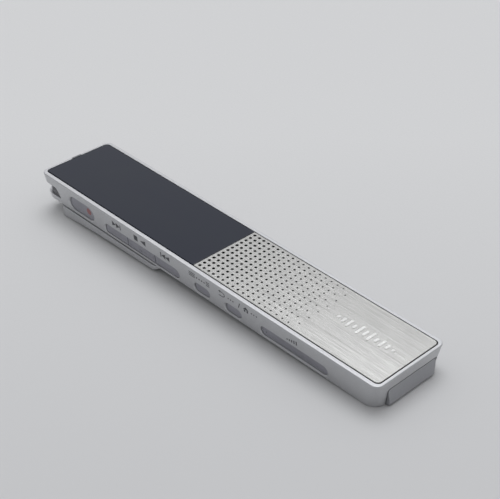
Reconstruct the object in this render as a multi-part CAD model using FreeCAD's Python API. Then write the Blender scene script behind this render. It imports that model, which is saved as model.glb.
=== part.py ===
"""Slim handheld voice recorder, built as an assembly of separate pieces.

Millimetres.  X runs along the recorder, from the microphone end (-X) to the connector end (+X).
The row of keys is on the -Y side.  The display window and the perforated panel face +Z.
Everything is drawn about the middle of the case, then moved along X so that the origin is the
centre of the whole object's underside.
"""
import FreeCAD, Part
import math
import os
from FreeCAD import Placement, Rotation, Vector

# ---------------------------------------------------------------- driving dimensions
CASE_LENGTH = 102.0
CASE_WIDTH = 20.0
CASE_TOP = 9.0                 # top of the rim above the lowest point of the clip's heel
CASE_BOTTOM = 2.8
SIDE_INSET = 0.75              # how far the side walls lean in at the bottom
END_INSET = 0.5                # the same for the end walls
TOP_CORNER = 1.6               # plan radius of the case's corners at the rim
BOTTOM_CORNER = 3.0
RIM_FILLET = 0.22
KEEL_FILLET = 0.25

RECESS_HALF = (50.35, 9.05)    # the shallow tray that holds the window and the panel
RECESS_CORNER = 1.1
PLATE_GAP = 0.22
PLATE_TOP = CASE_TOP + 0.08
WINDOW_THICK = 0.8
PANEL_THICK = 0.5
GLUE = 0.08
PLATE_SPLIT = -0.3             # where the window ends and the panel starts
LEDGE_HALF = (48.8, 7.3)
LEDGE_BOTTOM = 7.4
CROSSBAR = (-1.9, 0.0)

CAVITY_X = (-49.4, 44.2)
CAVITY_HALF_Y = 8.2
COVER_TOP = 3.6                # inner face of the rear cover
COVER_HALF_Y = 7.6
FIT_GAP = 0.1

HOLE_PITCH = 1.32
HOLE_COLUMNS = 13
HOLE_FIRST_X = 0.77
HOLE_ROWS = 19
HOLE_FULL_ROWS = 17
HOLE_ROW_STEP = 1.345
HOLE_ROW_GROWTH = 0.0195       # each row is this much further from the last one
HOLE_RADIUS = (0.36, 0.18)     # first and last row

DRAFT = math.degrees(math.atan2(SIDE_INSET, CASE_TOP - CASE_BOTTOM))
SIDE_FRAME = Placement(Vector(0, -CASE_WIDTH / 2, CASE_TOP), Rotation(Vector(1, 0, 0), 90 + DRAFT))
KEY_RECESS = 0.3
OPENING_BEVEL = (0.24, 0.18)   # width and depth of the sloped edge round every key opening
KEY_WEB = 0.8                  # thickness of the wall that a key's flange bears on
KEY_FLANGE = (0.85, 1.05)      # depth of the flange below the outer surface
KEY_POCKET_DEPTH = 1.65
KEY_FLANGE_REACH = 0.35
KEY_GAP = 0.06
KEY_EDGE = 0.12
KEY_ROW = (3.36, 5.60)         # top and bottom of the keys, measured down the side wall
TRIO_ROW = (3.36, 5.82)        # rewind, play and forward share one longer opening
RECORD_ROW = (1.96, 5.60)
RECORD_X = (-41.1, -32.45)
REWIND_X = (-28.5, -21.22)
PLAY_X = (-21.04, -12.19)
FORWARD_X = (-12.01, -4.05)
OPTION_X = (0.7, 5.35)
BACK_X = (10.0, 14.7)
VOLUME_X = (20.25, 38.3)
VOLUME_FLANGE = (1.0, 1.2)     # set deeper, so that the key can rock
RECORD_DOT = (-34.6, 3.62, 0.85)
SWITCH_Y = (-8.05, -7.7)
KEY_BOARD_THICK = 0.15
SWITCH_HALF = (1.4, 1.0)

SLIDER_X = -26.0
SLIDER_ROW = (2.3, 4.5)
SLIDER_HALF = 2.5
SLIDER_TRAVEL = 1.5
SLIDER_POCKET = 0.8

MIC_X = -46.4
MIC_Z = 5.5
MIC_NOTCH_Z = (4.22, 6.7)
MIC_NOTCH_DEPTH = 1.0
MIC_NOTCH_START_Y = 5.2
MIC_MESH = 0.2

JACK_Z = 5.75
JACK_BORE = 1.8
JACK_NECK = 2.1
JACK_BODY_X = (-48.7, -37.6)

BOSSES = [(x, y) for x in (-43.4, 42.6) for y in (-6.3, 6.3)]
BOSS_RADIUS = 1.1
SCREW_RADIUS = 0.45
POSTS = [(-32.6, 6.0), (1.4, -6.0)]
BOARD_Z = (5.2, 5.8)
BOARD_X = (-37.0, 4.2)

PIVOT = (-43.5, 1.5)           # the clip's pin: X and Z
PIVOT_RADIUS = 0.5
PIVOT_CLEARANCE = 0.03
LUG_Y = (3.6, 4.8)
LUG_RADIUS = 0.65
CLIP_TOP = 2.65
CLIP_HALF_Y = 9.4
SPRING_TURNS = 8
SPRING_PITCH = 0.42

DOOR_PIN = (45.6, 3.4)         # the connector cover's pin: X and Z
DOOR_PIN_RADIUS = 0.3
DOOR_PIN_Y = (-7.5, 8.75)
DOOR_Y = (-6.6, 7.9)
DOOR_CORNERS = (0.0, 0.0, 0.5, 0.7)
DOOR_TOP = 6.68
DOOR_GAP = 0.2
DOOR_SCOOP = 1.8               # radius of the cover's far lower corner, outside the case
DOOR_TIP = 51.5                # how far +X the cover bulges at its foot

ORIGIN_X = (CASE_LENGTH / 2 - DOOR_TIP) / 2


# ---------------------------------------------------------------- helpers
def box(x, y, z):
    """A box from its X, Y and Z spans."""
    corner = Vector(x[0], y[0], z[0])
    return Part.makeBox(x[1] - x[0], y[1] - y[0], z[1] - z[0], corner)


def span(half):
    return (-half, half)


def rod(radius, start, end):
    """A cylinder between two points."""
    line = Vector(*end) - Vector(*start)
    return Part.makeCylinder(radius, line.Length, Vector(*start), line)


def outline(x, y, radii, z=0.0):
    """A closed rounded rectangle at height z.  radii start at (low X, low Y) and go round."""
    turns = [(x[0], y[0], 1, 1, 180), (x[1], y[0], -1, 1, 270), (x[1], y[1], -1, -1, 0), (x[0], y[1], 1, -1, 90)]
    edges = []
    ends = []
    for (cx, cy, sx, sy, start), radius in zip(turns, radii):
        centre = Vector(cx + sx * radius, cy + sy * radius, z)
        if radius > 0:
            arc = Part.makeCircle(radius, centre, Vector(0, 0, 1), start, start + 90)
            edges.append(arc)
            ends.append((arc.valueAt(arc.FirstParameter), arc.valueAt(arc.LastParameter)))
        else:
            edges.append(None)
            ends.append((centre, centre))
    loop = []
    for i, arc in enumerate(edges):
        if arc is not None:
            loop.append(arc)
        here = ends[i][1]
        there = ends[(i + 1) % 4][0]
        if here.distanceToPoint(there) > 1e-6:
            loop.append(Part.makeLine(here, there))
    return Part.Wire(loop)


def slab(x, y, z, radius=0.0):
    """A plate with rounded plan corners, given one radius or four."""
    radii = radius if isinstance(radius, tuple) else (radius,) * 4
    return Part.Face(outline(x, y, radii, z[0])).extrude(Vector(0, 0, z[1] - z[0]))


def ring(outer_x, outer_y, wall, z, radius=0.0):
    """A slab with a window in it, leaving walls of one width."""
    inner_x = (outer_x[0] + wall, outer_x[1] - wall)
    inner_y = (outer_y[0] + wall, outer_y[1] - wall)
    opening = slab(inner_x, inner_y, (z[0] - 1, z[1] + 1), max(radius - wall, 0.0))
    return slab(outer_x, outer_y, z, radius).cut(opening)


def side_slab(x, row, depth, radius=0.0):
    """A plate parallel to the sloping side wall, before it is placed there.

    row runs down the wall from the rim, and depth runs inward from its surface.
    """
    return slab(x, (-row[1], -row[0]), (-depth[1], -depth[0]), radius)


def end_slab(y, z, x, radii):
    """A plate across the connector end, rounded at its corners as seen along X."""
    plate = slab(y, z, x, radii)
    plate.Placement = Placement(Vector(0, 0, 0), Rotation(Vector(1, 1, 1), 120))
    return plate


def on_side(shape, far=False):
    """Places a shape drawn for the key side there, or mirrors it to the far side."""
    placed = shape.copy()
    placed.Placement = SIDE_FRAME.multiply(shape.Placement)
    return placed.mirror(Vector(0, 0, 0), Vector(0, 1, 0)) if far else placed


def soften(shape, radius, chosen):
    """Rounds the edges for which chosen(edge) is true."""
    return shape.makeFillet(radius, [edge for edge in shape.Edges if chosen(edge)])


def at_height(z, tolerance=1e-4):
    """Chooses the edges that lie wholly at one height."""
    return lambda edge: edge.BoundBox.ZMax - tolerance < z < edge.BoundBox.ZMin + tolerance


def fused(parts):
    return parts[0].fuse(parts[1:]).removeSplitter()


def grown(pair, by):
    return (pair[0] - by, pair[1] + by)


def mirrored(shape):
    return shape.mirror(Vector(0, 0, 0), Vector(0, 1, 0))


def profile(points, y):
    """A straight-sided outline in the XZ plane, extruded across a Y span."""
    corners = [Vector(x, y[0], z) for x, z in points]
    face = Part.Face(Part.makePolygon(corners + corners[:1]))
    return face.extrude(Vector(0, y[1] - y[0], 0))


# ---------------------------------------------------------------- case
def hull():
    """The outside of the case: a rounded bar that tapers slightly downward."""
    length = CASE_LENGTH / 2
    width = CASE_WIDTH / 2
    top = outline(span(length), span(width), (TOP_CORNER,) * 4, CASE_TOP)
    bottom = outline(span(length - END_INSET), span(width - SIDE_INSET), (BOTTOM_CORNER,) * 4, CASE_BOTTOM)
    body = Part.makeLoft([top, bottom], True, True)
    body = soften(body, RIM_FILLET, at_height(CASE_TOP))
    return soften(body, KEEL_FILLET, at_height(CASE_BOTTOM))


def key_row():
    """Every key that slides: name, X span, row, corner radii, and which ends carry a flange."""
    round_end = (KEY_ROW[1] - KEY_ROW[0]) / 2 - 0.01
    record_end = (RECORD_ROW[1] - RECORD_ROW[0]) / 2 - 0.01
    trio_end = (TRIO_ROW[1] - TRIO_ROW[0]) / 2 - 0.01
    none = 0.02
    return {
        "record_key": (RECORD_X, RECORD_ROW, (record_end,) * 4, (True, True)),
        "rewind_key": (REWIND_X, TRIO_ROW, (0.6, none, none, 1.1), (True, False)),
        "play_key": (PLAY_X, TRIO_ROW, (none,) * 4, (False, False)),
        "forward_key": (FORWARD_X, TRIO_ROW, (none, trio_end, trio_end, none), (False, True)),
        "option_key": (OPTION_X, KEY_ROW, (round_end,) * 4, (True, True)),
        "back_key": (BACK_X, KEY_ROW, (round_end,) * 4, (True, True)),
    }


def flange_span(x, ends, extra=0.0):
    low = x[0] - (KEY_FLANGE_REACH + extra if ends[0] else 0.0)
    high = x[1] + (KEY_FLANGE_REACH + extra if ends[1] else 0.0)
    return (low, high)


def sloped_edge(x, row, radius):
    """The funnel that widens a key opening towards the outer surface."""
    radii = radius if isinstance(radius, tuple) else (radius,) * 4
    width, depth = OPENING_BEVEL
    y = (-row[1], -row[0])
    reach = 2 * width
    inner = outline(x, y, radii, -depth)
    outer = outline(grown(x, reach), grown(y, reach), tuple(r + reach for r in radii), depth)
    return Part.makeLoft([inner, outer], True, True)


def key_openings():
    """What the keys need cut out of the side wall."""
    cuts = []
    keys = key_row()
    rewind_radii = keys["rewind_key"][2]
    forward_radii = keys["forward_key"][2]
    trio_radii = (rewind_radii[0], forward_radii[1], forward_radii[2], rewind_radii[3])
    openings = [
        (RECORD_X, RECORD_ROW, keys["record_key"][2][0]),
        ((REWIND_X[0], FORWARD_X[1]), TRIO_ROW, trio_radii),
        (OPTION_X, KEY_ROW, keys["option_key"][2][0]),
        (BACK_X, KEY_ROW, keys["back_key"][2][0]),
        (VOLUME_X, KEY_ROW, keys["back_key"][2][0]),
    ]
    for x, row, radius in openings:
        cuts.append(side_slab(x, row, (-1.0, KEY_WEB), radius))
        cuts.append(sloped_edge(x, row, radius))
        pocket_x = grown(x, KEY_FLANGE_REACH + KEY_GAP)
        pocket_row = (row[0] - KEY_FLANGE_REACH - KEY_GAP, row[1])
        cuts.append(side_slab(pocket_x, pocket_row, (KEY_WEB, KEY_POCKET_DEPTH)))
    return [on_side(cut) for cut in cuts]


def mic_notches():
    """The corner slots in front of the microphones, one on each side, with their sound holes."""
    inner_x = -CASE_LENGTH / 2 + MIC_NOTCH_DEPTH + 0.15
    inner_y = CASE_WIDTH / 2 - MIC_NOTCH_DEPTH - 0.4
    low, high = MIC_NOTCH_Z
    outside = profile([(-52, low), (-44.5, low), (-45.0, low + 1.3), (-45.9, high), (-52, high)], (-11, 11))
    core = slab((inner_x, 0), span(inner_y), (low - 1, high + 1), (2.0, 0, 0, 2.0))
    middle = box((-53, 0), span(MIC_NOTCH_START_Y), (low - 1, high + 1))
    sound_hole = rod(1.0, (MIC_X, -inner_y - 1, MIC_Z), (MIC_X, inner_y + 1, MIC_Z))
    return [outside.cut(core).cut(middle), sound_hole]


def mic_grille():
    """The bent mesh at the bottom of the near-side slot."""
    inner_x = -CASE_LENGTH / 2 + MIC_NOTCH_DEPTH + 0.15
    inner_y = CASE_WIDTH / 2 - MIC_NOTCH_DEPTH - 0.4
    low, high = MIC_NOTCH_Z
    outer = slab((inner_x - MIC_MESH, 0), span(inner_y + MIC_MESH), (low, high), (2.2, 0, 0, 2.2))
    core = slab((inner_x, 1), span(inner_y), (low - 1, high + 1), (2.0, 0, 0, 2.0))
    reach = profile([(-52, low), (-44.6, low), (-45.1, low + 1.3), (-45.95, high), (-52, high)], (-11, 0))
    middle = box((-53, 0), (-MIC_NOTCH_START_Y - 0.05, 1), (low - 1, high + 1))
    return outer.cut(core).common(reach).cut(middle)


def slider_openings():
    pocket = grown((SLIDER_X - SLIDER_HALF, SLIDER_X + SLIDER_HALF), SLIDER_TRAVEL + KEY_GAP)
    cuts = [side_slab(pocket, SLIDER_ROW, (-1, SLIDER_POCKET), 1.09)]
    middle = sum(SLIDER_ROW) / 2
    slot = (SLIDER_X - SLIDER_TRAVEL - 0.8, SLIDER_X + SLIDER_TRAVEL + 0.8)
    cuts.append(side_slab(slot, (middle - 0.45, middle + 0.45), (0, 2.5)))
    return [on_side(cut, far=True) for cut in cuts]


def door_openings():
    """The recess for the connector cover and the mouth behind it."""
    upright = end_slab(DOOR_Y, (CASE_BOTTOM - 1, DOOR_TOP), (49.6, 52), DOOR_CORNERS)
    foot = box((DOOR_PIN[0], 50), DOOR_Y, (CASE_BOTTOM - 1, 3.75))
    x, z = DOOR_PIN
    knuckle = rod(0.68, (x, DOOR_Y[0], z), (x, DOOR_Y[1], z))
    swing = box((x - 0.68, x), DOOR_Y, (CASE_BOTTOM - 1, z))
    pin = rod(DOOR_PIN_RADIUS, (x, DOOR_PIN_Y[0] - 0.05, z), (x, DOOR_PIN_Y[1] + 0.05, z))
    socket = box((CAVITY_X[1] - 1, 48.7), span(5.4), (4.15, LEDGE_BOTTOM + 0.1))
    mouth = slab((44, 52), span(3.8), (4.2, 6.5), 0.0)
    return [upright, foot, knuckle, swing, pin, socket, mouth]


def case_frame():
    """Tub, rim, inner ledge and bosses in one moulding."""
    body = hull()
    half_x, half_y = RECESS_HALF
    window_floor = PLATE_TOP - WINDOW_THICK - GLUE
    panel_floor = PLATE_TOP - PANEL_THICK - GLUE
    above = CASE_TOP + 1
    tray = slab(span(half_x), span(half_y), (panel_floor, above), RECESS_CORNER)
    window_tray = slab((-half_x, PLATE_SPLIT), span(half_y), (window_floor, above), (RECESS_CORNER, 0, 0, RECESS_CORNER))
    cloth_tray = slab((0.0, 28.9), span(8.45), (8.28, above))
    window_hole = slab((-LEDGE_HALF[0], CROSSBAR[0]), span(LEDGE_HALF[1]), (LEDGE_BOTTOM - 1, above), 0.5)
    panel_hole = slab((CROSSBAR[1], LEDGE_HALF[0]), span(LEDGE_HALF[1]), (LEDGE_BOTTOM, above), 0.5)
    cavity = slab(CAVITY_X, span(CAVITY_HALF_Y), (COVER_TOP, LEDGE_BOTTOM), 0.8)
    mouth = slab((-49.0, CAVITY_X[1]), span(COVER_HALF_Y), (CASE_BOTTOM - 1, COVER_TOP + 0.01), 1.5)
    cuts = [tray, window_tray, cloth_tray, window_hole, panel_hole, cavity, mouth]
    body = body.cut(cuts)
    bosses = []
    for x, y in BOSSES:
        side = 1 if y > 0 else -1
        rib = box((x - 0.6, x + 0.6), sorted((y, side * (CAVITY_HALF_Y + 0.1))), (COVER_TOP, LEDGE_BOTTOM + 0.1))
        bosses.append(rod(BOSS_RADIUS, (x, y, COVER_TOP), (x, y, LEDGE_BOTTOM + 0.1)))
        bosses.append(rib)
    body = body.fuse(bosses)
    pilots = [rod(SCREW_RADIUS, (x, y, COVER_TOP - 1), (x, y, 6.8)) for x, y in BOSSES]
    jack_hole = rod(JACK_NECK + 0.08, (-53, 0, JACK_Z), (JACK_BODY_X[0], 0, JACK_Z))
    guide_slot = box((-50.8, -48.7), span(1.35), (7.86, above))
    body = body.cut(pilots + [jack_hole, guide_slot])
    body = body.cut(key_openings() + slider_openings())
    body = body.cut(mic_notches())
    return body.cut(door_openings())


def rear_cover():
    """The flush bottom plate, with the clip's two lugs below and the board's posts above."""
    plate = slab((-49.0 + FIT_GAP, CAVITY_X[1] - FIT_GAP), span(COVER_HALF_Y - FIT_GAP), (CASE_BOTTOM, COVER_TOP), 1.4)
    x, z = PIVOT
    lugs = []
    for side in (-1, 1):
        y = sorted((side * LUG_Y[0], side * LUG_Y[1]))
        lugs.append(box((x - LUG_RADIUS, x + LUG_RADIUS), y, (z, CASE_BOTTOM)))
        lugs.append(rod(LUG_RADIUS, (x, y[0], z), (x, y[1], z)))
    posts = [rod(1.0, (px, py, COVER_TOP), (px, py, BOARD_Z[0])) for px, py in POSTS]
    body = fused([plate] + lugs + posts)
    cuts = [rod(PIVOT_RADIUS, (x, -6, z), (x, 6, z))]
    for bx, by in BOSSES:
        cuts.append(rod(SCREW_RADIUS, (bx, by, CASE_BOTTOM - 1), (bx, by, COVER_TOP + 1)))
        cuts.append(Part.makeCone(0.95, SCREW_RADIUS, 0.5, Vector(bx, by, CASE_BOTTOM)))
    cuts += [rod(0.4, (px, py, 4.0), (px, py, 6.0)) for px, py in POSTS]
    return body.cut(cuts)


def case_screws():
    screws = []
    for x, y in BOSSES:
        head = Part.makeCone(0.9, SCREW_RADIUS - 0.02, 0.48, Vector(x, y, CASE_BOTTOM + 0.02))
        shank = rod(SCREW_RADIUS - 0.02, (x, y, CASE_BOTTOM + 0.3), (x, y, 6.5))
        slot = box((x - 0.5, x + 0.5), (y - 0.09, y + 0.09), (CASE_BOTTOM - 0.1, CASE_BOTTOM + 0.22))
        cross = box((x - 0.09, x + 0.09), (y - 0.5, y + 0.5), (CASE_BOTTOM - 0.1, CASE_BOTTOM + 0.22))
        screws.append(head.fuse(shank).cut([slot, cross]))
    return Part.makeCompound(screws)


# ---------------------------------------------------------------- top plates
def display_window():
    """The dark glass, with a lightly rounded upper edge."""
    x = (-RECESS_HALF[0] + PLATE_GAP, PLATE_SPLIT - 0.05)
    glass = slab(x, span(RECESS_HALF[1] - PLATE_GAP), (PLATE_TOP - WINDOW_THICK, PLATE_TOP), (1.0, 0.12, 0.12, 1.0))
    return soften(glass, 0.1, at_height(PLATE_TOP))


def hole_rows():
    """X, radius and column numbers of each row of perforations."""
    rows = []
    x = HOLE_FIRST_X
    for row in range(HOLE_ROWS):
        share = row / (HOLE_ROWS - 1)
        radius = HOLE_RADIUS[0] + share * (HOLE_RADIUS[1] - HOLE_RADIUS[0])
        columns = range(HOLE_COLUMNS)
        if row == HOLE_FULL_ROWS:
            columns = range(0, HOLE_COLUMNS, 2)
        elif row > HOLE_FULL_ROWS:
            columns = range(1, HOLE_COLUMNS, 2)
        rows.append((x, radius, columns))
        x += HOLE_ROW_STEP + HOLE_ROW_GROWTH * row
    return rows


def front_panel():
    """The brushed metal plate with its field of shrinking holes."""
    x = (PLATE_SPLIT + 0.05, RECESS_HALF[0] - PLATE_GAP)
    bottom = PLATE_TOP - PANEL_THICK
    plate = slab(x, span(RECESS_HALF[1] - PLATE_GAP), (bottom, PLATE_TOP), (0.12, 1.0, 1.0, 0.12))
    rim = [edge for edge in plate.Edges if at_height(PLATE_TOP)(edge)]
    plate = plate.makeChamfer(0.1, rim)
    holes = []
    for hole_x, radius, columns in hole_rows():
        for column in columns:
            y = (column - (HOLE_COLUMNS - 1) / 2) * HOLE_PITCH
            holes.append(rod(radius, (hole_x, y, bottom - 0.1), (hole_x, y, PLATE_TOP + 0.1)))
    return plate.cut(holes)


def emblem():
    """A generic sound-wave mark: a row of raised bars of different lengths."""
    lengths = [0.8, 1.5, 2.3, 1.3, 2.9, 1.9, 2.9, 1.3, 2.3, 1.5, 0.8]
    step = 1.4
    middle = Vector(38.8, 0.5, 0)
    bars = []
    for i, length in enumerate(lengths):
        x = middle.x + (i - (len(lengths) - 1) / 2) * step
        y = (middle.y - length / 2, middle.y + length / 2)
        bars.append(slab((x - 0.3, x + 0.3), y, (PLATE_TOP, PLATE_TOP + 0.08), 0.29))
    return Part.makeCompound(bars)


def window_adhesive():
    z = (PLATE_TOP - WINDOW_THICK - GLUE, PLATE_TOP - WINDOW_THICK)
    half_x, half_y = RECESS_HALF
    sheet = ring((-half_x + 0.02, PLATE_SPLIT - 0.2), span(half_y - 0.02), 1.6, z, 1.05)
    return sheet.cut(box((-51, -48), span(1.45), (8, 9)))


def panel_adhesive():
    z = (PLATE_TOP - PANEL_THICK - GLUE, PLATE_TOP - PANEL_THICK)
    half_x, half_y = RECESS_HALF
    outer = slab((PLATE_SPLIT + 0.02, half_x - 0.02), span(half_y - 0.02), z, (0, 1.05, 1.05, 0))
    speaker_area = slab((-1, 29.3), span(8.5), (8, 9))
    return outer.cut([speaker_area, slab((28, 48.9), span(7.5), (8, 9))])


# ---------------------------------------------------------------- display and indicator
def oled_display():
    glass = slab((-36.0, -4.0), span(6.2), (7.05, 7.65), 0.2)
    cover = slab((-36.0, -6.5), span(6.2), (7.65, 8.22), 0.2)
    return fused([glass, cover])


def display_bracket():
    plate = ring((-36.6, -3.4), span(6.9), 1.6, (6.85, 7.05), 0.5)
    legs = []
    for x in (-35.8, -5.2):
        for y in ((-6.9, -6.4), (6.4, 6.9)):
            legs.append(box((x, x + 1.2), y, (BOARD_Z[1], 6.9)))
    return fused([plate] + legs)


def display_flex():
    """A C-shaped ribbon from the display's edge down to the board."""
    thick = 0.12
    x = (-4.0, -2.55)
    top = box(x, span(3.0), (7.3, 7.3 + thick))
    drop = box((x[1] - thick, x[1]), span(3.0), (BOARD_Z[1], 7.3 + thick))
    tail = box((x[1] - 1.2, x[1]), span(3.0), (BOARD_Z[1], BOARD_Z[1] + thick))
    return fused([top, drop, tail])


def indicator_light_guide():
    riser = box((-50.75, -50.35), span(1.3), (7.9, CASE_TOP + 0.05))
    foot = box((-50.75, -49.6), span(1.3), (7.9, 8.24))
    return fused([riser, foot])


def indicator_led():
    return box((-49.55, -48.75), span(0.5), (7.98, 8.2))


# ---------------------------------------------------------------- sound
def microphone():
    return rod(1.45, (MIC_X, -8.0, MIC_Z), (MIC_X, -6.7, MIC_Z))


def mic_boot():
    sleeve = rod(1.85, (MIC_X, -8.18, MIC_Z), (MIC_X, -6.5, MIC_Z))
    pocket = rod(1.45, (MIC_X, -8.0, MIC_Z), (MIC_X, -6.0, MIC_Z))
    port = rod(0.7, (MIC_X, -9.0, MIC_Z), (MIC_X, -6.0, MIC_Z))
    return sleeve.cut([pocket, port])


def mic_flex():
    strip = box((-49.3, -36.4), span(1.3), (7.88, 7.98))
    arms = box((-47.6, -45.2), span(7.0), (7.88, 7.98))
    return fused([strip, arms])


def headphone_jack():
    housing = slab(JACK_BODY_X, span(3.0), (3.7, 7.82), 0.3)
    neck = rod(JACK_NECK, (-50.45, 0, JACK_Z), (JACK_BODY_X[0] + 0.5, 0, JACK_Z))
    bore = rod(JACK_BORE, (-52, 0, JACK_Z), (-38.5, 0, JACK_Z))
    return fused([housing, neck]).cut(bore)


def jack_terminals():
    tabs = [box((-37.6, -36.0), (y - 0.4, y + 0.4), (BOARD_Z[1], BOARD_Z[1] + 0.15)) for y in (-2.2, 0, 2.2)]
    return Part.makeCompound(tabs)


def speaker_cloth():
    return box((0.2, 28.7), span(8.35), (8.3, 8.56))


def speaker_gasket():
    return ring((2.2, 26.8), span(7.0), 1.2, (8.02, 8.29), 2.5)


def speaker_frame():
    basket = slab((2.6, 26.4), span(6.8), (6.2, 8.0), 2.4)
    well = slab((3.5, 25.5), span(5.9), (7.0, 9.0), 1.6)
    return basket.cut(well)


def speaker_diaphragm():
    surround = slab((3.55, 25.45), span(5.85), (7.2, 7.35), 1.6)
    dome = slab((7.0, 22.0), span(3.4), (7.35, 7.7), 3.3)
    dome = soften(dome, 0.3, at_height(7.7))
    return fused([surround, dome])


# ---------------------------------------------------------------- electronics
def main_board():
    board = slab(BOARD_X, span(7.3), BOARD_Z, 0.4)
    return board.cut([rod(0.45, (x, y, 4), (x, y, 7)) for x, y in POSTS])


def board_screws():
    screws = []
    for x, y in POSTS:
        head = rod(0.75, (x, y, BOARD_Z[1]), (x, y, BOARD_Z[1] + 0.4))
        shank = rod(0.4, (x, y, 4.0), (x, y, BOARD_Z[1]))
        slot = box((x - 0.5, x + 0.5), (y - 0.09, y + 0.09), (BOARD_Z[1] + 0.2, 7))
        screws.append(head.fuse(shank).cut(slot))
    return Part.makeCompound(screws)


def chip(x, y, height):
    return box(x, y, (BOARD_Z[1], BOARD_Z[1] + height))


def board_passives():
    """Two rows of small resistors and capacitors between the chips."""
    parts = [chip((x, x + 0.9), (y, y + 0.5), 0.4) for x in range(-20, -8, 2) for y in (-5.4, 4.6)]
    return Part.makeCompound(parts)


def shield_can():
    return slab((-30, -12), span(5.5), (4.0, BOARD_Z[0]), 0.4).cut(slab((-29.8, -12.2), span(5.3), (4.2, 6), 0.2))


def battery():
    cell = slab((7.0, 41.0), span(6.3), (3.75, 5.8), 0.6)
    cell = soften(cell, 0.5, at_height(5.8))
    return soften(cell, 0.5, at_height(3.75))


def battery_protection_board():
    return box((5.9, 6.9), span(4.0), (4.2, 5.4))


def battery_leads():
    leads = []
    for y in (-1.5, 1.5):
        run = rod(0.25, (5.9, y, 4.7), (3.2, y, 4.7))
        rise = rod(0.25, (3.4, y, 4.6), (3.4, y, BOARD_Z[0]))
        leads.append(run.fuse(rise))
    return Part.makeCompound(leads)


def usb_connector():
    shell = slab((44.4, 49.4), span(3.7), (4.25, 6.45), 0.0)
    mouth = box((45.2, 50), span(3.45), (4.5, 6.2))
    return shell.cut(mouth)


def usb_tongue():
    return box((45.2, 48.8), span(2.6), (5.1, 5.7))


def usb_board():
    return box((43.9, 48.5), span(5.0), (6.47, 6.9))


def power_flex():
    run = box((2.4, 43.6), span(1.8), (5.9, 6.0))
    rise = box((43.5, 43.6), span(1.8), (5.9, 6.9))
    return fused([run, rise])


def board_connector():
    return box((2.4, 4.0), span(2.0), (BOARD_Z[1], 5.9))


# ---------------------------------------------------------------- keys
def key_body(x, row, radii, ends, flange=KEY_FLANGE):
    """A cap that shows in the wall and the wider flange that keeps it from falling out."""
    cap_x = (x[0] + (KEY_GAP if ends[0] else 0.0), x[1] - (KEY_GAP if ends[1] else 0.0))
    cap_row = (row[0] + KEY_GAP, row[1] - KEY_GAP)
    cap_radii = tuple(max(radius - KEY_GAP, 0.02) for radius in radii)
    cap = side_slab(cap_x, cap_row, (KEY_RECESS, flange[1]), cap_radii)
    cap = soften(cap, KEY_EDGE, at_height(-KEY_RECESS))
    rim = side_slab(flange_span(cap_x, ends), (cap_row[0] - KEY_FLANGE_REACH, cap_row[1]), flange)
    return cap.fuse(rim)


def dish(x, depth):
    """A shallow barrel that hollows a key's face between two X values."""
    chord = x[1] - x[0]
    radius = chord * chord / (8 * depth) + depth / 2
    middle = sum(x) / 2
    return rod(radius, (middle, -9, radius - KEY_RECESS - depth), (middle, 0, radius - KEY_RECESS - depth))


def nub(x, s):
    """A raised dot that a fingertip finds."""
    dot = rod(0.3, (x, -s, -KEY_RECESS - 0.2), (x, -s, -KEY_RECESS + 0.14))
    return soften(dot, 0.1, at_height(-KEY_RECESS + 0.14))


def record_key():
    key = key_body(*key_row()["record_key"])
    key = key.cut(dish(RECORD_X, 0.18))
    x, s, radius = RECORD_DOT
    return on_side(key.cut(rod(radius, (x, -s, -0.65), (x, -s, 0))))


def record_dot():
    x, s, radius = RECORD_DOT
    disc = rod(radius - 0.01, (x, -s, -0.65), (x, -s, 0))
    return on_side(disc.cut(dish(RECORD_X, 0.18)).common(side_slab(RECORD_X, RECORD_ROW, (KEY_RECESS + 0.02, 1))))


def sliding_key(name):
    return on_side(key_body(*key_row()[name]))


def play_key():
    key = key_body(*key_row()["play_key"])
    return on_side(key.fuse(nub(-17.05, 5.0)))


def volume_key():
    """A long rocker; a bead behind its middle bears on the wall as its fulcrum."""
    radius = (KEY_ROW[1] - KEY_ROW[0]) / 2 - 0.01
    key = key_body(VOLUME_X, KEY_ROW, (radius,) * 4, (True, True), VOLUME_FLANGE)
    key = key.cut(dish((VOLUME_X[0] + 1.5, VOLUME_X[1] - 1.5), 0.16))
    return on_side(key.fuse(nub(VOLUME_X[0] + 1.15, 4.7)))


def key_height(row):
    """Height of a key row's middle at the switches."""
    lean = math.radians(DRAFT)
    return CASE_TOP - sum(row) / 2 * math.cos(lean) + 1.2 * math.sin(lean)


def key_board():
    return box((-40.0, 40.0), (SWITCH_Y[1], SWITCH_Y[1] + KEY_BOARD_THICK), (3.8, 7.2))


def key_switches():
    places = [(sum(x) / 2, key_height(row)) for x, row, radii, ends in key_row().values()]
    places += [(x, key_height(KEY_ROW)) for x in (VOLUME_X[0] + 2.6, VOLUME_X[1] - 2.6)]
    switches = []
    for x, z in places:
        half_x, half_z = SWITCH_HALF
        base = box((x - half_x, x + half_x), (SWITCH_Y[1] - 0.2, SWITCH_Y[1]), (z - half_z, z + half_z))
        dome = rod(0.8, (x, SWITCH_Y[0], z), (x, SWITCH_Y[1], z))
        switches.append(base.fuse(dome))
    return Part.makeCompound(switches)


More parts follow.
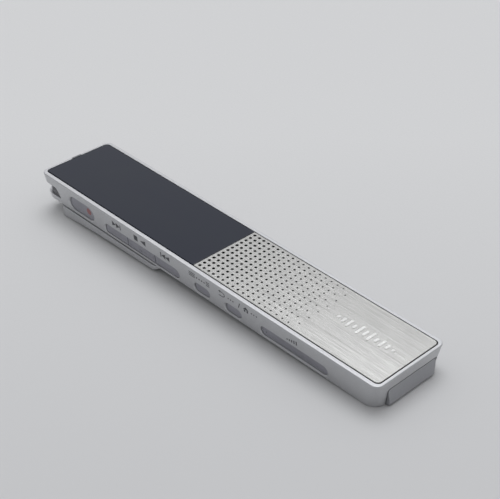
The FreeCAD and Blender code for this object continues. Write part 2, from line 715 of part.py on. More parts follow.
def power_slider():
    """The ribbed thumb piece on the far side, with the stem that moves its switch."""
    x = (SLIDER_X - SLIDER_HALF, SLIDER_X + SLIDER_HALF)
    row = grown(SLIDER_ROW, -KEY_GAP)
    cap = side_slab(x, row, (KEY_RECESS - 0.1, SLIDER_POCKET - 0.05), 0.95)
    cap = soften(cap, KEY_EDGE, at_height(-KEY_RECESS + 0.1))
    middle = sum(SLIDER_ROW) / 2
    for i in range(-2, 3):
        rib_x = SLIDER_X + 0.7 * i
        groove = box((rib_x - 0.13, rib_x + 0.13), (-middle - 0.7, -middle + 0.7), (-KEY_RECESS, 0))
        cap = cap.cut(groove)
    stem = side_slab((SLIDER_X - 0.6, SLIDER_X + 0.6), (middle - 0.3, middle + 0.3), (SLIDER_POCKET - 0.1, 1.75))
    return on_side(cap.fuse(stem), far=True)


def power_switch():
    return box((SLIDER_X - 4, SLIDER_X + 4), (6.2, 7.55), (BOARD_Z[1], 6.8))


# ---------------------------------------------------------------- connector cover
def connector_cover():
    """An L-shaped flap: a short foot on the hinge and an upright that closes the end."""
    x, z = DOOR_PIN
    y = grown(DOOR_Y, -DOOR_GAP)
    top = DOOR_TOP - DOOR_GAP
    points = [(x, 2.85), (50.7, 2.85), (51.2, 3.0), (DOOR_TIP, 3.45), (50.8, top),
              (49.75, top), (49.75, 3.65), (x, 3.65)]
    flap = profile(points, y)
    knuckle = rod(0.55, (x, y[0], z), (x, y[1], z))
    corners = tuple(max(radius - DOOR_GAP, 0.0) for radius in DOOR_CORNERS)
    body = fused([flap, knuckle]).common(end_slab(y, (2, top), (44, 52), corners))
    body = body.common(slab((44, DOOR_TIP), y, (2, 8), (0.0, 0.3, 1.6, 0.0)))
    centre_y = y[1] - DOOR_SCOOP
    centre_z = CASE_BOTTOM + DOOR_SCOOP
    scoop = box((50.2, 52), (centre_y, 9), (2, centre_z))
    body = body.cut(scoop.cut(rod(DOOR_SCOOP, (50, centre_y, centre_z), (53, centre_y, centre_z))))
    return body.cut(rod(DOOR_PIN_RADIUS + 0.03, (x, -9, z), (x, 9, z)))


def cover_hinge_pin():
    x, z = DOOR_PIN
    return rod(DOOR_PIN_RADIUS, (x, DOOR_PIN_Y[0], z), (x, DOOR_PIN_Y[1], z))


# ---------------------------------------------------------------- clip
def clip():
    """A spring-loaded clip: deep at the heel, thin towards its tip."""
    heel = [Vector(-44.7, 0, 0.0), Vector(-45.35, 0, 0.35), Vector(-45.1, 0, 2.38), Vector(PIVOT[0], 0, CLIP_TOP)]
    tip = [Vector(-11.2, 0, CLIP_TOP), Vector(-10.7, 0, 2.3), Vector(-12.6, 0, 1.5)]
    belly = Part.BSplineCurve()
    belly.interpolate([tip[-1], Vector(-20, 0, 1.36), Vector(-30.7, 0, 1.14), Vector(-38, 0, 0.68), heel[0]])
    edges = [Part.makeLine(a, b) for a, b in zip(heel, heel[1:] + tip[:1])]
    edges += [Part.makeLine(a, b) for a, b in zip(tip, tip[1:])]
    edges.append(belly.toShape())
    side = Part.Face(Part.Wire(Part.__sortEdges__(edges)))
    bar = side.extrude(Vector(0, 2 * CLIP_HALF_Y, 0))
    bar.translate(Vector(0, -CLIP_HALF_Y, 0))
    plan = slab((-45.4, -10.5), span(CLIP_HALF_Y), (-1, 4), (2.0, 2.6, 2.6, 2.0))
    bar = bar.common(plan)
    x, z = PIVOT
    hollow = slab((-40.5, -14.0), span(7.6), (2.05, 4), 1.0)
    spring_room = box((x - 1.15, x + 1.25), span(2.6), (0.45, 4))
    slots = []
    for side_sign in (-1, 1):
        y = sorted((side_sign * (LUG_Y[0] - 0.15), side_sign * (LUG_Y[1] + 0.15)))
        slots.append(box((x - LUG_RADIUS - 0.3, x + LUG_RADIUS + 0.3), y, (z - LUG_RADIUS - 0.25, 4)))
    bore = rod(PIVOT_RADIUS + PIVOT_CLEARANCE, (x, -6.5, z), (x, 6.5, z))
    return bar.cut([hollow, spring_room, bore] + slots)


def clip_pin():
    x, z = PIVOT
    return rod(PIVOT_RADIUS, (x, -6.4, z), (x, 6.4, z))


def clip_spring():
    """A torsion spring coiled round the pin."""
    x, z = PIVOT
    coil_radius = 0.8
    height = SPRING_PITCH * SPRING_TURNS
    helix = Part.makeHelix(SPRING_PITCH, height, coil_radius)
    start = Part.makeCircle(0.13, Vector(coil_radius, 0, 0), Vector(0, 1, 0))
    coil = Part.Wire(helix).makePipeShell([Part.Wire(start)], True, True)
    coil.Placement = Placement(Vector(x, height / 2, z), Rotation(Vector(1, 0, 0), 90))
    return coil


# ---------------------------------------------------------------- export
NODES = {
    "case_frame": case_frame,
    "rear_cover": rear_cover,
    "case_screws": case_screws,
    "display_window": display_window,
    "front_panel": front_panel,
    "emblem": emblem,
    "window_adhesive": window_adhesive,
    "panel_adhesive": panel_adhesive,
    "oled_display": oled_display,
    "display_bracket": display_bracket,
    "display_flex": display_flex,
    "indicator_light_guide": indicator_light_guide,
    "indicator_led": indicator_led,
    "left_microphone": microphone,
    "right_microphone": lambda: mirrored(microphone()),
    "left_mic_boot": mic_boot,
    "right_mic_boot": lambda: mirrored(mic_boot()),
    "left_mic_grille": mic_grille,
    "right_mic_grille": lambda: mirrored(mic_grille()),
    "mic_flex": mic_flex,
    "headphone_jack": headphone_jack,
    "jack_terminals": jack_terminals,
    "speaker_cloth": speaker_cloth,
    "speaker_gasket": speaker_gasket,
    "speaker_frame": speaker_frame,
    "speaker_diaphragm": speaker_diaphragm,
    "main_board": main_board,
    "board_screws": board_screws,
    "processor_chip": lambda: chip((-30, -22), (-4, 4), 0.9),
    "memory_chip": lambda: chip((-18, -8), (-3, 3), 0.9),
    "power_chip": lambda: chip((-1.8, 1.4), (2.5, 5.5), 0.35),
    "crystal": lambda: chip((-33.5, -31.5), (3.4, 4.6), 0.6),
    "board_passives": board_passives,
    "shield_can": shield_can,
    "battery": battery,
    "battery_protection_board": battery_protection_board,
    "battery_leads": battery_leads,
    "usb_connector": usb_connector,
    "usb_tongue": usb_tongue,
    "usb_board": usb_board,
    "power_flex": power_flex,
    "board_connector": board_connector,
    "record_key": record_key,
    "record_dot": record_dot,
    "rewind_key": lambda: sliding_key("rewind_key"),
    "play_key": play_key,
    "forward_key": lambda: sliding_key("forward_key"),
    "option_key": lambda: sliding_key("option_key"),
    "back_key": lambda: sliding_key("back_key"),
    "volume_key": volume_key,
    "key_board": key_board,
    "key_switches": key_switches,
    "power_slider": power_slider,
    "power_switch": power_switch,
    "connector_cover": connector_cover,
    "cover_hinge_pin": cover_hinge_pin,
    "clip": clip,
    "clip_pin": clip_pin,
    "clip_spring": clip_spring,
}

os.makedirs("parts", exist_ok=True)
for name, make in NODES.items():
    shape = make()
    shape.translate(Vector(ORIGIN_X, 0, 0))
    shape.exportStep("parts/" + name + ".step")
    print(name, len(shape.Solids), "valid" if shape.isValid() else "INVALID", round(shape.Volume, 2))
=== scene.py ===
"""Looks of the slim voice recorder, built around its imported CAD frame.

Metres, in the frame of the CAD model: +X towards the connector end, +Z out of the window, and
the row of keys on the -Y side.  Small dimensions are written in millimetres and scaled by MM.
"""

import math

import bmesh
import bpy
from mathutils import Matrix, Quaternion, Vector


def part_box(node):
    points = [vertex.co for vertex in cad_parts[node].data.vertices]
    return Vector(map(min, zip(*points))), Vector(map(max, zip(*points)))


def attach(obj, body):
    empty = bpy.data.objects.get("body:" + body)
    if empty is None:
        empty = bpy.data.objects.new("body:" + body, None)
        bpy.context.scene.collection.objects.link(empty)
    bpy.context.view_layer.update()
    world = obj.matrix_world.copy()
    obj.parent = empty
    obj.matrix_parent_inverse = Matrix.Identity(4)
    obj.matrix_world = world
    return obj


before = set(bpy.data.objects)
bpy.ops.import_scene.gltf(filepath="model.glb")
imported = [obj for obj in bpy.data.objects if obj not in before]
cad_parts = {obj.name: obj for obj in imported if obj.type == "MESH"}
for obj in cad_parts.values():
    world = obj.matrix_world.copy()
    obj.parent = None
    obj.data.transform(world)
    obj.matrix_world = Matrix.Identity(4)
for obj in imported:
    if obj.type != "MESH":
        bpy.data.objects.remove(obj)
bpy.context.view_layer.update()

MM = 0.001

# ---------------------------------------------------------------- camera, floor and light
CAMERA_PLACE = Vector((0.15643, -0.14910, 0.16236))
CAMERA_AIM = Vector((0.00057, 0.00648, 0.00615))
CAMERA_ROLL = math.radians(1.37)
FOCAL_LENGTH = 91.0

ROOM_COLOUR = (0.97, 0.98, 1.0)
ROOM_LIGHT = 0.30                # the dim side of the studio, behind the camera
WASH_LIGHT = 0.43                # what the wash adds at its brightest
WASH_TOWARDS = (-0.35, 0.45, 0.82)
WASH_EDGE = (-0.1, 1.0)          # cosines of the angles where the wash starts and is full
SOFTBOX_LIGHT = 2.6
SOFTBOX_TOWARDS = (-0.28, 0.28, 0.91)
SOFTBOX_EDGE = (0.90, 0.96)

FLOOR_HALF = 3.0
FLOOR_DROP = 0.01 * MM
HEEL_SETBACK = 0.65 * MM         # from the clip's outer end to the lowest line of its heel
FAR_SETBACK = 1.0 * MM           # from the case's far end to the line that it rests on
PAINTED_FALLOFF_ALONG = (0.7, -0.7, 0)      # painted shade: the floor's colour gets darker this way, towards the camera, for light that falls off
PAINTED_FALLOFF_START = -30                 # millimetres along it
PAINTED_FALLOFF_END = 110


def make_camera():
    camera = bpy.data.objects.new("camera", bpy.data.cameras.new("camera"))
    bpy.context.scene.collection.objects.link(camera)
    camera.data.lens = FOCAL_LENGTH
    camera.data.clip_start = 0.01
    level = (CAMERA_AIM - CAMERA_PLACE).to_track_quat("-Z", "Y")
    turn = level @ Quaternion((0, 0, 1), CAMERA_ROLL)
    camera.matrix_world = Matrix.Translation(CAMERA_PLACE) @ turn.to_matrix().to_4x4()
    bpy.context.scene.camera = camera


def make_lights():
    """Soft light from the surroundings: a broad wash from the far left and a large box overhead."""
    world = bpy.data.worlds.new("studio")
    bpy.context.scene.world = world
    world.use_nodes = True
    nodes = world.node_tree.nodes
    link = world.node_tree.links.new
    direction = nodes.new("ShaderNodeTexCoord").outputs["Generated"]

    def lobe(towards, edge, base, peak):
        """Light that grows from base to peak as the direction turns towards one side."""
        facing = nodes.new("ShaderNodeVectorMath")
        facing.operation = "DOT_PRODUCT"
        facing.inputs[1].default_value = Vector(towards).normalized()
        link(direction, facing.inputs[0])
        ramp = nodes.new("ShaderNodeMapRange")
        ramp.interpolation_type = "SMOOTHSTEP"
        limits = {"From Min": edge[0], "From Max": edge[1], "To Min": base, "To Max": peak}
        for socket, value in limits.items():
            ramp.inputs[socket].default_value = value
        link(facing.outputs["Value"], ramp.inputs["Value"])
        return ramp.outputs["Result"]

    total = nodes.new("ShaderNodeMath")
    total.operation = "ADD"
    link(lobe(WASH_TOWARDS, WASH_EDGE, ROOM_LIGHT, ROOM_LIGHT + WASH_LIGHT), total.inputs[0])
    link(lobe(SOFTBOX_TOWARDS, SOFTBOX_EDGE, 0.0, SOFTBOX_LIGHT), total.inputs[1])
    background = nodes["Background"]
    background.inputs["Color"].default_value = (*ROOM_COLOUR, 1)
    link(total.outputs[0], background.inputs["Strength"])
    bpy.context.scene.view_settings.view_transform = "Standard"


# ---------------------------------------------------------------- materials
MIX_FACTOR, MIX_FIRST, MIX_SECOND = 0, 6, 7      # the colour sockets of a Mix node
MIX_RESULT = 2


class Look:
    """One procedural material: constants sit on the shader's own sockets, detail comes from nodes."""

    def __init__(self, name, colour, roughness, sockets=None):
        self.material = bpy.data.materials.new(name)
        self.material.use_nodes = True
        self.tree = self.material.node_tree
        self.shader = self.tree.nodes["Principled BSDF"]
        self.colour = (*colour, 1)
        self.normal = None
        self.shader.inputs["Base Color"].default_value = self.colour
        self.shader.inputs["Roughness"].default_value = roughness
        for socket, value in (sockets or {}).items():
            self.shader.inputs[socket].default_value = value

    def add(self, kind, inputs, **settings):
        """Adds a node and fills its inputs with links or plain values."""
        node = self.tree.nodes.new("ShaderNode" + kind)
        for setting, value in settings.items():
            setattr(node, setting, value)
        for socket, value in inputs.items():
            if isinstance(value, bpy.types.NodeSocket):
                self.tree.links.new(value, node.inputs[socket])
            else:
                node.inputs[socket].default_value = value
        return node

    def place(self, stretch=(1, 1, 1)):
        """Object coordinates in millimetres, squeezed along the axes where stretch is above 1."""
        coords = self.add("TexCoord", {}).outputs["Object"]
        scale = tuple(1 / (MM * s) for s in stretch)
        return self.add("Mapping", {"Vector": coords, "Scale": scale}).outputs["Vector"]

    def spread(self, value, low, high, start=0.0, end=1.0):
        """Maps low..high onto start..end, and holds the ends."""
        inputs = {"Value": value, "From Min": low, "From Max": high, "To Min": start, "To Max": end}
        return self.add("MapRange", inputs).outputs["Result"]

    def noise(self, size, stretch=(1, 1, 1), detail=3.0, low=0.3, high=0.7):
        """Soft noise with features about size millimetres across, from 0 to 1."""
        inputs = {"Vector": self.place(stretch), "Scale": 1 / size, "Detail": detail}
        return self.spread(self.add("TexNoise", inputs).outputs["Fac"], low, high)

    def cells(self, size):
        """Distance to the nearest of scattered points, for grain and pits."""
        inputs = {"Vector": self.place(), "Scale": 1 / size}
        return self.spread(self.add("TexVoronoi", inputs).outputs["Distance"], 0.0, 0.7)

    def bands(self, size, axis, low, high):
        """Even stripes across one axis, a size in millimetres apart."""
        inputs = {"Vector": self.place(), "Scale": math.pi / (10 * size)}
        wave = self.add("TexWave", inputs, bands_direction=axis)
        return self.spread(wave.outputs["Fac"], low, high)

    def combine(self, operation, first, second):
        return self.add("Math", {0: first, 1: second}, operation=operation).outputs[0]

    def edges(self, radius):
        """1 where the surface turns within a radius in millimetres, 0 on flat stretches."""
        rounded = self.add("Bevel", {"Radius": radius * MM}, samples=4).outputs["Normal"]
        normal = self.add("NewGeometry", {}).outputs["Normal"]
        facing = self.add("VectorMath", {0: rounded, 1: normal}, operation="DOT_PRODUCT")
        turned = self.combine("SUBTRACT", 1.0, facing.outputs["Value"])
        return self.spread(turned, 0.01, 0.25)

    def tint(self, factor, colour):
        """Moves the base colour towards another where the factor is high."""
        mix = self.add("Mix", {}, data_type="RGBA")
        self.tree.links.new(factor, mix.inputs[MIX_FACTOR])
        if isinstance(self.colour, bpy.types.NodeSocket):
            self.tree.links.new(self.colour, mix.inputs[MIX_FIRST])
        else:
            mix.inputs[MIX_FIRST].default_value = self.colour
        mix.inputs[MIX_SECOND].default_value = (*colour, 1)
        self.colour = mix.outputs[MIX_RESULT]
        self.tree.links.new(self.colour, self.shader.inputs["Base Color"])

    def vary(self, socket, factor, start, end):
        """Drives a shader socket between two values."""
        self.tree.links.new(self.spread(factor, 0, 1, start, end), self.shader.inputs[socket])

    def bump(self, height, depth, strength=1.0):
        """Relief of a depth in millimetres, laid over the relief already there."""
        inputs = {"Height": height, "Distance": depth * MM, "Strength": strength}
        if self.normal is not None:
            inputs["Normal"] = self.normal
        self.normal = self.add("Bump", inputs).outputs["Normal"]
        self.tree.links.new(self.normal, self.shader.inputs["Normal"])


def scaled(colour, factor):
    return tuple(channel * factor for channel in colour)


def painted_metal(name, colour, roughness, metallic):
    """Fine metallic paint: a tight grain, faint clouding and edges worn lighter in places."""
    coat = {"Metallic": metallic, "Coat Weight": 0.12, "Coat Roughness": 0.3}
    look = Look(name, colour, roughness, coat)
    grain = look.noise(0.12, detail=2.0)
    clouds = look.noise(7.0, detail=2.0)
    wear = look.combine("MULTIPLY", look.edges(0.12), look.noise(1.4, low=0.2, high=0.6))
    look.tint(grain, scaled(colour, 0.80))
    look.tint(look.spread(clouds, 0, 1, 0, 0.5), scaled(colour, 0.93))
    look.tint(look.spread(wear, 0, 1, 0, 0.6), scaled(colour, 1.3))
    look.vary("Roughness", grain, roughness - 0.05, roughness + 0.06)
    look.bump(grain, 0.007, 0.6)
    return look.material


def silver_paint():
    return painted_metal("silver_paint", (0.62, 0.625, 0.64), 0.34, 0.60)


def cover_paint():
    """The connector cover's rubbery paint, a shade darker than the case."""
    return painted_metal("cover_paint", (0.43, 0.435, 0.455), 0.5, 0.6)


def rear_plastic():
    return painted_metal("rear_plastic", (0.52, 0.525, 0.545), 0.50, 0.55)


def window_gloss():
    """Smoked glass with the faintest haze of handling."""
    look = Look("window_gloss", (0.0018, 0.0058, 0.0205), 0.05, {"IOR": 1.5, "Coat Weight": 0.0})
    haze = look.noise(9.0, stretch=(1.6, 1, 1), detail=4.0, low=0.45, high=0.75)
    look.tint(look.spread(haze, 0, 1, 0, 0.5), (0.0055, 0.0110, 0.0215))
    look.vary("Roughness", haze, 0.04, 0.085)
    look.bump(look.noise(16.0, detail=1.0), 0.002, 0.4)
    return look.material


def brushed_panel():
    """Metal brushed along its length, with painted shade down the sides of its holes and round its edge.
    """
    look = Look("brushed_panel", (0.55, 0.547, 0.53), 0.20, {"Metallic": 1.0})
    fine = look.noise(0.07, stretch=(150, 1, 1), detail=2.0)
    broad = look.noise(0.17, stretch=(140, 1, 1), detail=2.0)
    height = look.add("SeparateXYZ", {0: look.place()}).outputs["Z"]
    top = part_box("front_panel")[1].z / MM
    look.tint(look.spread(fine, 0, 1, 0, 0.8), (0.43, 0.427, 0.416))
    look.tint(look.spread(broad, 0, 1, 0, 0.4), (0.62, 0.616, 0.60))
    # painted shade: everything below the top face is darkened, for the shade inside the holes and in the
    # seam round the panel
    look.tint(look.spread(height, top - 0.06, top - 0.14), (0.02, 0.02, 0.022))
    look.vary("Roughness", broad, 0.17, 0.23)
    look.bump(broad, 0.0016, 0.5)
    look.bump(fine, 0.006, 0.8)
    return look.material


def emblem_polish():
    look = Look("emblem_polish", (0.97, 0.965, 0.95), 0.14, {"Metallic": 1.0})
    haze = look.noise(0.5, detail=3.0)
    look.tint(look.spread(haze, 0, 1, 0, 0.4), (0.90, 0.895, 0.88))
    look.vary("Roughness", haze, 0.10, 0.22)
    look.bump(look.noise(0.2, stretch=(6, 1, 1)), 0.001, 0.5)
    return look.material


def key_plastic():
    """Satin painted keys with a fine, slightly purple grain, a painted highlight round their edges and
    lighter wear.
    """
    colour = (0.37, 0.37, 0.41)
    coat = {"Metallic": 0.45, "Coat Weight": 0.1, "Coat Roughness": 0.35}
    look = Look("key_plastic", colour, 0.42, coat)
    grain = look.noise(0.14, detail=2.0)
    wear = look.combine("MULTIPLY", look.edges(0.1), look.noise(0.9, low=0.25, high=0.6))
    look.tint(grain, scaled(colour, 0.80))
    look.tint(look.spread(look.noise(2.5), 0, 1, 0, 0.3), scaled(colour, 1.14))
    # painted highlight: every edge of the keys lighter, for light caught on their rounded rims
    look.tint(look.spread(look.edges(0.14), 0, 1, 0, 0.5), scaled(colour, 1.5))
    look.tint(look.spread(wear, 0, 1, 0, 0.5), scaled(colour, 1.8))
    look.vary("Roughness", grain, 0.38, 0.5)
    look.bump(grain, 0.005, 0.6)
    return look.material


def record_red():
    look = Look("record_red", (0.37, 0.13, 0.13), 0.38, {"Coat Weight": 0.3, "Coat Roughness": 0.2})
    grain = look.noise(0.12, detail=2.0)
    look.tint(look.spread(grain, 0, 1, 0, 0.8), (0.30, 0.10, 0.105))
    # painted highlight: the edges of the red mark lighter, for light caught on them
    look.tint(look.spread(look.edges(0.1), 0, 1, 0, 0.5), (0.60, 0.22, 0.22))
    look.vary("Roughness", grain, 0.32, 0.46)
    look.bump(grain, 0.004, 0.5)
    return look.material


def print_grey():
    """Marks printed on the side wall."""
    look = Look("print_grey", (0.06, 0.062, 0.07), 0.55)
    grain = look.noise(0.1, detail=2.0)
    look.tint(look.spread(grain, 0, 1, 0, 0.6), (0.11, 0.112, 0.12))
    look.vary("Roughness", grain, 0.48, 0.62)
    look.bump(grain, 0.002, 0.5)
    return look.material


def mesh_dark():
    look = Look("mesh_dark", (0.10, 0.101, 0.108), 0.5, {"Metallic": 0.4})
    grain = look.noise(0.08)
    look.tint(grain, (0.14, 0.141, 0.15))
    look.vary("Roughness", grain, 0.3, 0.5)
    look.bump(grain, 0.004, 0.5)
    return look.material


def wire_grey():
    """Steel wire with a fine, uneven finish."""
    look = Look("wire_grey", (0.52, 0.52, 0.54), 0.36, {"Metallic": 0.8})
    grain = look.noise(0.08)
    look.tint(grain, (0.38, 0.38, 0.40))
    look.vary("Roughness", grain, 0.3, 0.48)
    look.bump(grain, 0.004, 0.5)
    return look.material


def light_guide():
    look = Look("light_guide", (0.30, 0.31, 0.33), 0.22, {"Transmission Weight": 0.4, "IOR": 1.49})
    haze = look.noise(0.4)
    look.tint(look.spread(haze, 0, 1, 0, 0.6), (0.40, 0.41, 0.43))
    look.vary("Roughness", haze, 0.16, 0.3)
    look.bump(haze, 0.003, 0.4)
    return look.material


def led_white():
    look = Look("led_white", (0.86, 0.84, 0.72), 0.35, {"Subsurface Weight": 0.1})
    haze = look.noise(0.25)
    look.tint(look.spread(haze, 0, 1, 0, 0.5), (0.90, 0.80, 0.42))
    look.vary("Roughness", haze, 0.28, 0.45)
    return look.material


def oled_glass():
    """A dark display stack with fine columns of pixels."""
    look = Look("oled_glass", (0.012, 0.013, 0.018), 0.12, {"IOR": 1.52})
    columns = look.bands(0.3, "X", 0.35, 0.8)
    look.tint(look.spread(columns, 0, 1, 0, 0.6), (0.03, 0.034, 0.045))
    look.vary("Roughness", look.noise(1.5), 0.08, 0.2)
    look.bump(columns, 0.003, 0.4)
    return look.material


def flat_black(name, colour, roughness, grain_size, depth):
    """Black parts with a grain of their own and a painted highlight on their edges: glue, rubber,
    moulded plastic.
    """
    look = Look(name, colour, roughness)
    grain = look.cells(grain_size)
    look.tint(grain, scaled(colour, 1.9))
    # painted highlight: every edge lighter, for light caught on it
    look.tint(look.spread(look.edges(0.12), 0, 1, 0, 0.5), scaled(colour, 3.0))
    look.vary("Roughness", look.noise(grain_size * 4), roughness - 0.08, roughness + 0.08)
    look.bump(grain, depth, 0.6)
    return look.material


def adhesive_black():
    return flat_black("adhesive_black", (0.015, 0.015, 0.017), 0.75, 0.25, 0.01)


def boot_rubber():
    return flat_black("boot_rubber", (0.022, 0.022, 0.024), 0.8, 0.2, 0.012)


def jack_black():
    return flat_black("jack_black", (0.02, 0.02, 0.022), 0.45, 0.12, 0.006)


def speaker_black():
    return flat_black("speaker_black", (0.03, 0.03, 0.033), 0.5, 0.18, 0.008)


def chip_black():
    """Moulded chip packages: matt, finely pitted."""
    return flat_black("chip_black", (0.024, 0.025, 0.027), 0.62, 0.09, 0.008)


def steel_bright():
    look = Look("steel_bright", (0.58, 0.575, 0.565), 0.26, {"Metallic": 1.0})
    marks = look.noise(0.12, stretch=(1, 9, 1))
    look.tint(look.spread(marks, 0, 1, 0, 0.7), (0.44, 0.435, 0.425))
    # painted highlight: every edge of the steel brighter, for light caught on it
    look.tint(look.spread(look.edges(0.08), 0, 1, 0, 0.6), (0.80, 0.795, 0.78))
    look.vary("Roughness", marks, 0.18, 0.36)
    look.bump(marks, 0.003, 0.5)
    return look.material


def flex_amber():
    """Polyimide ribbon with copper tracks under it."""
    look = Look("flex_amber", (0.42, 0.17, 0.035), 0.32, {"Coat Weight": 0.4, "Coat Roughness": 0.15})
    tracks = look.bands(0.4, "Y", 0.45, 0.6)
    look.tint(look.spread(tracks, 0, 1, 0, 0.8), (0.58, 0.27, 0.07))
    look.vary("Roughness", look.noise(0.8), 0.24, 0.42)
    look.bump(tracks, 0.012, 0.6)
    return look.material


def board_green():
    """Solder resist with tracks, and the weave of the laminate under it."""
    look = Look("board_green", (0.012, 0.095, 0.042), 0.34, {"Coat Weight": 0.35, "Coat Roughness": 0.2})
    across = look.bands(0.35, "X", 0.3, 0.7)
    along = look.bands(0.35, "Y", 0.3, 0.7)
    weave = look.combine("MULTIPLY", across, along)
    tracks = look.noise(1.1, stretch=(6, 1, 1), detail=0.0, low=0.56, high=0.58)
    look.tint(look.spread(weave, 0, 1, 0, 0.35), (0.02, 0.13, 0.06))
    look.tint(look.spread(tracks, 0, 1, 0, 0.7), (0.03, 0.20, 0.085))
    look.vary("Roughness", look.noise(1.5), 0.26, 0.42)
    look.bump(tracks, 0.02, 0.6)
    look.bump(weave, 0.006, 0.4)
    return look.material


def passive_tan():
    """Ceramic bodies with tinned ends."""
    look = Look("passive_tan", (0.40, 0.30, 0.20), 0.48)
    grain = look.noise(0.1)
    look.tint(look.spread(grain, 0, 1, 0, 0.7), (0.30, 0.22, 0.15))
    look.tint(look.spread(look.edges(0.14), 0, 1, 0, 0.7), (0.66, 0.65, 0.62))
    look.vary("Roughness", grain, 0.38, 0.58)
    look.bump(grain, 0.008, 0.5)
    return look.material


def capsule_metal():
    look = Look("capsule_metal", (0.70, 0.69, 0.66), 0.24, {"Metallic": 1.0})
    marks = look.noise(0.1, stretch=(1, 1, 6))
    look.tint(look.spread(marks, 0, 1, 0, 0.6), (0.55, 0.545, 0.52))
    look.vary("Roughness", marks, 0.16, 0.34)
    look.bump(marks, 0.002, 0.5)
    return look.material


def terminal_brass():
    look = Look("terminal_brass", (0.72, 0.56, 0.26), 0.26, {"Metallic": 1.0})
    marks = look.noise(0.1, stretch=(5, 1, 1))
    look.tint(look.spread(marks, 0, 1, 0, 0.6), (0.55, 0.42, 0.20))
    look.vary("Roughness", marks, 0.2, 0.38)
    look.bump(marks, 0.003, 0.5)
    return look.material


def cloth_black():
    """Fine acoustic cloth: two sets of threads, over and under."""
    look = Look("cloth_black", (0.006, 0.006, 0.007), 0.9, {"Sheen Weight": 0.02})
    warp = look.bands(0.16, "X", 0.2, 0.8)
    weft = look.bands(0.16, "Y", 0.2, 0.8)
    weave = look.combine("MULTIPLY", warp, weft)
    look.tint(weave, (0.016, 0.016, 0.018))
    look.vary("Roughness", weave, 0.82, 0.95)
    look.bump(weave, 0.03, 0.8)
    return look.material


def cone_grey():
    look = Look("cone_grey", (0.10, 0.10, 0.105), 0.55, {"Coat Weight": 0.2, "Coat Roughness": 0.3})
    fibres = look.noise(0.2, stretch=(3, 1, 1), detail=5.0)
    look.tint(look.spread(fibres, 0, 1, 0, 0.7), (0.065, 0.065, 0.07))
    look.vary("Roughness", fibres, 0.45, 0.65)
    look.bump(fibres, 0.01, 0.5)
    return look.material


def battery_foil():
    """The pouch's laminated foil, slightly creased."""
    look = Look("battery_foil", (0.66, 0.67, 0.68), 0.34, {"Metallic": 0.9})
    creases = look.noise(2.4, stretch=(2, 1, 1), detail=5.0, low=0.35, high=0.65)
    look.tint(look.spread(creases, 0, 1, 0, 0.5), (0.50, 0.51, 0.53))
    look.vary("Roughness", creases, 0.26, 0.44)
    look.bump(creases, 0.06, 0.5)
    return look.material


def lead_red():
    look = Look("lead_red", (0.50, 0.03, 0.025), 0.4, {"Coat Weight": 0.2})
    rings = look.noise(0.3, stretch=(1, 3, 3))
    look.tint(look.spread(rings, 0, 1, 0, 0.6), (0.36, 0.02, 0.02))
    look.vary("Roughness", rings, 0.32, 0.5)
    look.bump(rings, 0.01, 0.4)
    return look.material


SLOT_LOOKS = [
    silver_paint, rear_plastic, window_gloss, brushed_panel, emblem_polish, key_plastic, record_red,
    mesh_dark, light_guide, led_white, oled_glass, adhesive_black, steel_bright, flex_amber,
    board_green, chip_black, passive_tan, capsule_metal, boot_rubber, jack_black, terminal_brass,
    cloth_black, speaker_black, cone_grey, battery_foil, lead_red,
]


def dress_frame():
    """Gives every CAD node the finish of its material slot, and the connector cover its own."""
    for packed in list(bpy.data.materials):
        packed.name = "packed_" + packed.name
    looks = {make.__name__: make() for make in SLOT_LOOKS}
    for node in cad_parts.values():
        for holder in node.material_slots:
            holder.material = looks[holder.material.name.removeprefix("packed_")]
    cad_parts["connector_cover"].material_slots[0].material = cover_paint()


# ---------------------------------------------------------------- shared mesh helpers
def new_piece(name, mesh_builder, material, body):
    """Makes an object from a bmesh and lets it ride on a body."""
    mesh = bpy.data.meshes.new(name)
    bmesh.ops.recalc_face_normals(mesh_builder, faces=mesh_builder.faces)
    mesh_builder.to_mesh(mesh)
    mesh_builder.free()
    piece = bpy.data.objects.new(name, mesh)
    bpy.context.scene.collection.objects.link(piece)
    mesh.materials.append(material)
    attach(piece, body)
    return piece


def middle_x(node):
    low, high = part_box(node)
    return (low.x + high.x) / 2 / MM


# ---------------------------------------------------------------- marks on the side wall
CASE_HALF_WIDTH = 10.0
CASE_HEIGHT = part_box("case_frame")[1].z / MM
WALL_LEAN = math.atan2(0.75, 6.2)
PRINT_PROUD = 0.012
PRINT_ROOT = 0.02
MARK_TOP = 1.0                   # how far below the rim the marks start, down the wall
MARK_HEIGHT = 1.35
MARK_MIDDLE = MARK_TOP + MARK_HEIGHT / 2
MARK_FOOT = MARK_TOP + MARK_HEIGHT
THIN_STROKE = 0.2
THICK_STROKE = 0.26
POINTER_WIDTH = 1.3
LIST_STEP = 0.45


def on_wall(x, down, out):
    """A point on the key side's sloping wall, in metres: x along it, down from the rim, out of it."""
    y = -CASE_HALF_WIDTH + down * math.sin(WALL_LEAN) - out * math.cos(WALL_LEAN)
    z = CASE_HEIGHT - down * math.cos(WALL_LEAN) - out * math.sin(WALL_LEAN)
    return Vector((x, y, z)) * MM


def print_polygons(name, polygons, ink):
    """Thin printed shapes, each a closed prism that stands barely proud of the paint."""
    builder = bmesh.new()
    for polygon in polygons:
        front = [builder.verts.new(on_wall(x, down, PRINT_PROUD)) for x, down in polygon]
        back = [builder.verts.new(on_wall(x, down, -PRINT_ROOT)) for x, down in polygon]
        builder.faces.new(front)
        builder.faces.new(back[::-1])
        for i, corner in enumerate(front):
            after = (i + 1) % len(front)
            builder.faces.new((front[after], corner, back[i], back[after]))
    new_piece(name, builder, ink, "recorder_body")


def bar(x, down, wide, tall):
    """A rectangle from its corner nearest the rim."""
    return [(x, down), (x + wide, down), (x + wide, down + tall), (x, down + tall)]


